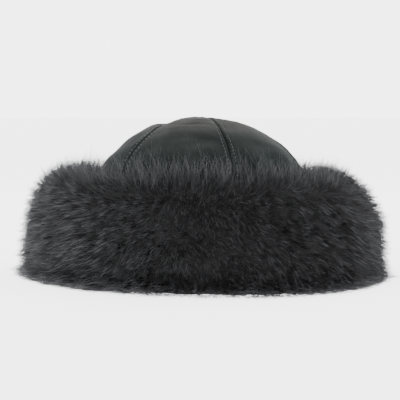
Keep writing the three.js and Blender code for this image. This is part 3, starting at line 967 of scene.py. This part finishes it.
# %% Heights of the tufts
TOUSLED = [  # azimuth in degrees, power, extra mm, and the middle and width of its share of the outline
    (90, 4, 4.5, 0.38, 0.14),  # the right side bulges below its middle
    (90, 4, 3.2, 0.76, 0.12),  # and again at the shoulder
    (90, 4, -3.4, 0.96, 0.1),  # but dips beside the dome
    (-90, 4, 4.2, 0.98, 0.1),  # the left side stands higher beside the dome
    (-90, 4, 1.4, 0.72, 0.1),
    (-90, 4, -2.0, 0.25, 0.12),  # and is hollow low down
    (-75, 6, -5.0, 0.02, 0.08),  # both sides are tucked in at the table
    (75, 6, -4.0, 0.02, 0.06),
    (0, 2, 8.0, 0.0, 0.1),  # and the front spreads on it towards the viewer
]
SIDE_TO_TOP = (0.6, 0.85)  # shares of the outline between which the fur's side becomes its top
BROAD_HEIGHT, FINE_HEIGHT = 0.5, 0.4  # shares of a coat's variation that follow smooth noise
BROAD_HEIGHT_WAVE, FINE_HEIGHT_WAVE = 30, 12  # mm, of that noise


def tuft_heights(random, azimuth, share, place, coat):
    """How far past the outline each tuft ends, in millimetres: its coat's usual reach, a stray of its
    own, broad and fine noise, the coat's extra on top at the front, and what each row of TOUSLED adds.
    That is its extra times a power of the cosine round the hat, and a bell curve along the outline."""
    usual, vary, tuft_vary = coat["reach"]
    height = usual + tuft_vary * random.normal(0, 1, len(azimuth))
    height = height + BROAD_HEIGHT * vary * ripple(place, BROAD_HEIGHT_WAVE, 35)
    height = height + FINE_HEIGHT * vary * ripple(place, FINE_HEIGHT_WAVE, 36)
    front = np.maximum(0, np.cos(azimuth)) ** 2
    height = height + coat["front"] * front * smooth_step(share, *SIDE_TO_TOP)
    for degrees, power, extra, middle, width in TOUSLED:
        near = np.maximum(0, np.cos(azimuth - math.radians(degrees))) ** power
        height = height + extra * near * np.exp(-(((share - middle) / width) ** 2))
    return height


print(f"{len(TOUSLED)} places are fuller or lower than the outline")

# %% Tones of the tufts
FOOT = (0, 0.06)  # shares of the outline between which the fur's foot ends
# painted light that comes through the fur's top at the back
BACK_PALER = 0.3  # on top at the back
# painted light: the glowing table's light on the tips at the foot
FOOT_PALER = 0.3
# painted light that comes through the left rim and the left of the top
LEFT_PALER, LEFT_POWER = 0.3, 16  # the higher the power, the narrower the rim at that side
LEFT_TOP_PALER = 0.1
# painted shade on the right rim
RIGHT_DARKER, RIGHT_POWER = 0.12, 8
CALM_FRONT = 0.6  # share of its unevenness that the front lacks
TONE_WAVE = 24  # mm, of the noise in the tone


def tuft_tones(random, azimuth, share, place, coat):
    """How pale each tuft is: its coat's usual tone with noise and a stray of its own, painted darker at the
    front for shade, and painted paler or darker at the places that the values above name, for light and
    shade."""
    usual, by_tuft, _ = coat["tone"]
    front, back = np.maximum(0, np.cos(azimuth)) ** 2, np.maximum(0, -np.cos(azimuth))
    left, right = np.maximum(0, -np.sin(azimuth)), np.maximum(0, np.sin(azimuth))
    on_top = smooth_step(share, *SIDE_TO_TOP)
    foot = 1 - smooth_step(share, *FOOT)
    uneven = by_tuft * (ripple(place, TONE_WAVE, 37) + random.normal(0, 1, len(azimuth)))
    tone = usual + uneven * (1 - CALM_FRONT * front)
    # painted shade: the front is darker, and darker again on its top
    tone = tone * np.maximum(0, 1 - coat["front_shade"] * front * (1 + on_top))
    # painted light at the back of the top, at the foot and at the left, and painted shade at the right
    tone = tone + BACK_PALER * back * on_top + FOOT_PALER * foot * (1 - CALM_FRONT * front)
    tone = tone + LEFT_PALER * left**LEFT_POWER + LEFT_TOP_PALER * left * on_top
    return tone - RIGHT_DARKER * right**RIGHT_POWER


print(f"at the back the top is {BACK_PALER} paler, where 0 is a dark hair and 1 a pale one")


# %% Where the tufts stand
def tuft_places(random, coat):
    """Azimuths and shares of a coat's tufts: rows at equal steps along the outline, each with as many
    tufts as its girth has room for, and every tuft strayed by up to half a step."""
    spacing = coat["spacing"]
    fine = np.linspace(0, 1, 400)
    radius, height = outline_at(FUR_OUTLINE, fine).T
    length = np.concatenate([[0], np.cumsum(np.hypot(np.diff(radius), np.diff(height)))])
    start, end = np.interp(coat["along"], fine, length)
    azimuths, shares = [], []
    for row in np.arange(start, end, spacing):
        count = int(2 * math.pi * np.interp(row, length, radius) / spacing)
        stray = random.uniform(-0.5, 0.5, (2, count))
        azimuths.append((np.arange(count) + stray[0]) / count * 2 * math.pi)
        shares.append(np.interp(row + stray[1] * spacing, length, fine))
    return np.concatenate(azimuths), np.concatenate(shares)


random = np.random.default_rng(5)
planted = [(tuft_places(random, coat), coat) for coat in COATS.values()]
total = sum(len(azimuth) * coat["hairs"] for (azimuth, _), coat in planted)
print(f"{sum(len(azimuth) for (azimuth, _), _ in planted)} tufts with {total} hairs")

# %% The hairs of the tufts
SHORT_HAIRS, LONG_HAIRS = 0.8, 0.5  # mean shares of a coat's variation by which hairs end early and late
TUFT_TIGHTNESS = (0.5, 1.5)  # tightest and loosest tuft, as shares of the coat's value, and so on below
HAIR_LENGTH = (0.85, 1.15)
HAIR_WIDTH = (0.7, 1.2)
STRAIGHT_OUT = 0.72  # share of a hair's first way that is straight out of the pelt, and not along its lean
BEND_PLACE = 0.55  # share of its length where it bends
DARKEST, PALEST = 0.01, 0.99  # tones that no hair goes past


def hairs_of(random, azimuth, share, coat):
    """The hairs of the given tufts. A tip is its tuft's tip plus a small stray, and a root lies back
    along the tuft's lean, spread wider. The bend lies almost straight out of the root, so that the hair's
    outer half droops. A tip that would go through the table is turned back up by as much."""
    place = fur_point(azimuth, share)
    lean_down, lean_side = lean_of(azimuth, share, place)
    height = tuft_heights(random, azimuth, share, place, coat)
    tone = tuft_tones(random, azimuth, share, place, coat)
    tightness = coat["tightness"] * random.uniform(*TUFT_TIGHTNESS, len(azimuth))
    of_tufts = (place, *fur_frame(azimuth, share), lean_down, lean_side, height, tone, tightness)
    of_hairs = [np.repeat(values, coat["hairs"], axis=0) for values in of_tufts]
    place, out, down, side, lean_down, lean_side, height, tone, tightness = of_hairs
    count = len(height)
    lean_down = lean_down + random.normal(0, coat["disorder"], count)
    lean_side = lean_side + random.normal(0, coat["disorder"], count)
    vary = coat["reach"][1]
    reach = height - vary * random.exponential(SHORT_HAIRS, count)
    reach = reach + vary * random.exponential(LONG_HAIRS, count)
    stray = random.normal(0, 1, (4, count, 1))
    tip = place + (out * reach[:, None] + (down * stray[0] + side * stray[1]) * tightness[:, None]) * MM
    tip[:, 2] = TABLE_GAP * MM + np.abs(tip[:, 2] - TABLE_GAP * MM)
    length = coat["length"] * MM * random.uniform(*HAIR_LENGTH, count)[:, None]
    way = unit(out + down * lean_down[:, None] + side * lean_side[:, None])
    root = tip - way * length + (down * stray[2] + side * stray[3]) * coat["spread"] * MM
    bend = root + (STRAIGHT_OUT * out + (1 - STRAIGHT_OUT) * way) * length * BEND_PLACE
    return {
        "root": root,
        "bend": bend,
        "tip": tip,
        "width": coat["width"] * MM * random.uniform(*HAIR_WIDTH, count),
        "tone": np.clip(tone + coat["tone"][2] * random.normal(0, 1, count), DARKEST, PALEST),
        "turn": random.uniform(0, 2 * math.pi, count),
    }


print(f"a hair bends at {BEND_PLACE:.0%} of its length")

# %% [markdown]
# ## Growing the fur
#
# The ring of fur is one pelt on the real hat. As one mesh it would be too heavy to keep as a file, so it
# grows in six sectors. Each tuft belongs to one sector, and its hairs lean across the border freely, so
# no border shows.

# %% Growing the fur, one sector at a time
SECTORS = 6

for sector in range(SECTORS):
    coats = []
    for (azimuth, share), coat in planted:
        mine = np.floor(azimuth % (2 * math.pi) / (2 * math.pi) * SECTORS) == sector
        hairs = hairs_of(random, azimuth[mine], share[mine], coat)
        coats.append(horns(hairs, np.array([0, coat["knee"]])))
    fur_piece(f"fur_sector_{sector + 1}", coats)
